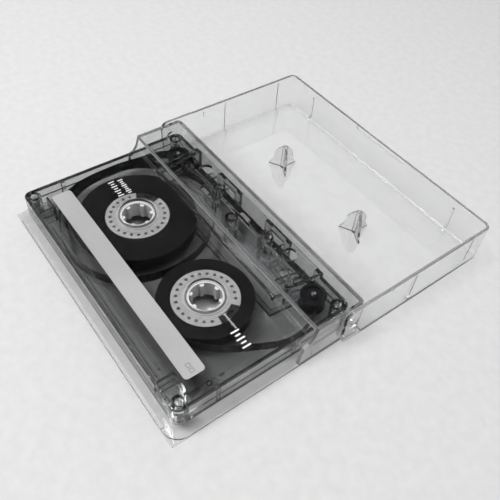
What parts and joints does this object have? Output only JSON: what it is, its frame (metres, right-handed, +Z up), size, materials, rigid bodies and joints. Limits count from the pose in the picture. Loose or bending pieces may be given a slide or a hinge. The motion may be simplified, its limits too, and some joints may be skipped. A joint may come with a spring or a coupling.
{
  "type": "cassette tape case",
  "caption": "Hinged clear plastic case with spine pocket and hub-lock posts, holding a tape cassette with toothed hubs and guide rollers.",
  "frame": {"origin": "middle of the open case's footprint, on the surface it lies on", "axes": "+X along the case's length and its hinge, +Y from the lid towards the tray, +Z up"},
  "size_m": [0.109, 0.1286, 0.0156],
  "materials": {
    "clear_case": "clear polished polystyrene",
    "smoke_shell": "smoke-grey translucent polystyrene",
    "hub_plastic": "off-white moulded acetal",
    "clamp_plastic": "dark moulded plastic",
    "tape": "dark coated tape",
    "roller_plastic": "dark moulded acetal",
    "steel": "bright steel",
    "spring_bronze": "phosphor bronze leaf",
    "shield_metal": "dull nickel alloy sheet",
    "felt": "pressed felt",
    "paper": "matt coated label paper",
    "liner": "thin lubricated film"
  },
  "bodies": {
    "lid": {"case_lid": "clear_case", "shell_upper": "smoke_shell", "shell_lower": "smoke_shell", "screw_rear_left": "steel", "screw_rear_right": "steel", "screw_front_left": "steel", "screw_front_right": "steel", "screw_centre": "steel", "label_upper": "paper", "label_lower": "paper", "tape_run": "tape", "slip_sheet_upper": "liner", "slip_sheet_lower": "liner", "roller_pin_left": "steel", "roller_pin_right": "steel", "pad_spring": "spring_bronze", "shield_plate": "shield_metal"},
    "tray": {"case_tray": "clear_case"},
    "supply_reel": {"supply_hub": "hub_plastic", "supply_clamp": "clamp_plastic", "supply_pack": "tape"},
    "takeup_reel": {"takeup_hub": "hub_plastic", "takeup_clamp": "clamp_plastic", "takeup_pack": "tape"},
    "left_roller": {"roller_left": "roller_plastic"},
    "right_roller": {"roller_right": "roller_plastic"},
    "pad": {"pressure_pad": "felt"}
  },
  "joints": [
    {"name": "case_hinge", "type": "hinge", "parent": "lid", "child": "tray", "pos_m": [0, 0.0008, 0.00842], "axis": [1, 0, 0], "range_deg": [0, 180]},
    {"name": "supply_spin", "type": "hinge", "parent": "lid", "child": "supply_reel", "pos_m": [-0.02125, -0.0321, 0.0072], "axis": [0, 0, 1], "continuous": true},
    {"name": "takeup_spin", "type": "hinge", "parent": "lid", "child": "takeup_reel", "pos_m": [0.02125, -0.0321, 0.0072], "axis": [0, 0, 1], "continuous": true},
    {"name": "left_roller_spin", "type": "hinge", "parent": "lid", "child": "left_roller", "pos_m": [-0.0399, -0.0039, 0.0072], "axis": [0, 0, 1], "continuous": true},
    {"name": "right_roller_spin", "type": "hinge", "parent": "lid", "child": "right_roller", "pos_m": [0.0399, -0.0039, 0.0072], "axis": [0, 0, 1], "continuous": true},
    {"name": "pad_press", "type": "slide", "parent": "lid", "child": "pad", "axis": [0, -1, 0], "range_m": [0, 0.0008], "stiffness_N_per_m": 400, "deforming": ["pad_spring"]}
  ],
  "couplings": [
    {"joint": "takeup_spin", "follows": "supply_spin", "ratio": 1.3205},
    {"joint": "left_roller_spin", "follows": "supply_spin", "ratio": 5.4933},
    {"joint": "right_roller_spin", "follows": "supply_spin", "ratio": 5.4933}
  ]
}
